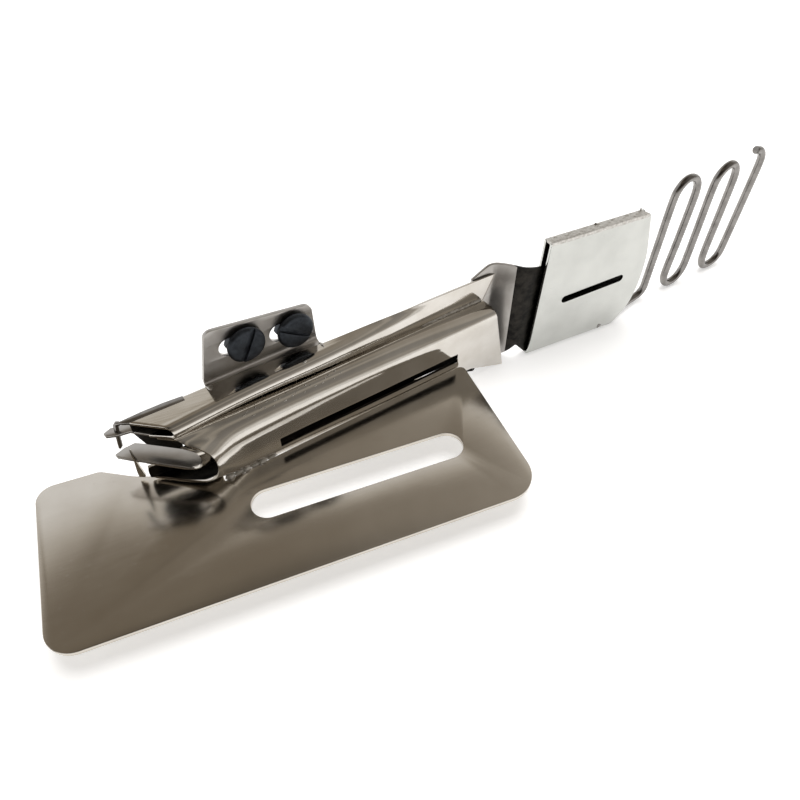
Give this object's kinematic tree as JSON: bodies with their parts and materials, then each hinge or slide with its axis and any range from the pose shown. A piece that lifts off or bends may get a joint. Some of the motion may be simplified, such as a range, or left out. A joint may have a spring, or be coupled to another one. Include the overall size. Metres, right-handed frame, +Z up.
{
  "type": "right angle binder",
  "caption": "Sheet metal sewing binder: a slotted base plate with a folding scroll, an adjusting bracket, a tape sleeve and a zigzag tension wire.",
  "frame": {"origin": "under the centre of the plate's slot, at the level that the binder stands on", "axes": "+X along the slot towards the tape sleeve, +Y to the back, +Z up out of the plate"},
  "size_m": [0.1347, 0.0406, 0.0257],
  "materials": {
    "plate_steel": "satin polished",
    "polished_steel": "mirror polished",
    "blackened_steel": "matt blue-black",
    "brushed_sheet": "brushed",
    "wire_steel": "satin",
    "solder": "rough solder"
  },
  "bodies": {
    "root": {"base_plate": "plate_steel", "outer_shell": "polished_steel", "inner_scroll": "polished_steel", "upper_edge_folder": "polished_steel", "edge_guard": "polished_steel", "lower_tooth": "polished_steel", "adjusting_bracket": "polished_steel", "screw_left": "blackened_steel", "screw_right": "blackened_steel", "nut_left": "blackened_steel", "nut_right": "blackened_steel", "tape_sleeve": "brushed_sheet", "sleeve_seam": "solder", "tension_wire": "wire_steel", "plate_solder": "solder", "valley_solder": "solder", "wire_solder": "solder"}
  },
  "joints": []
}
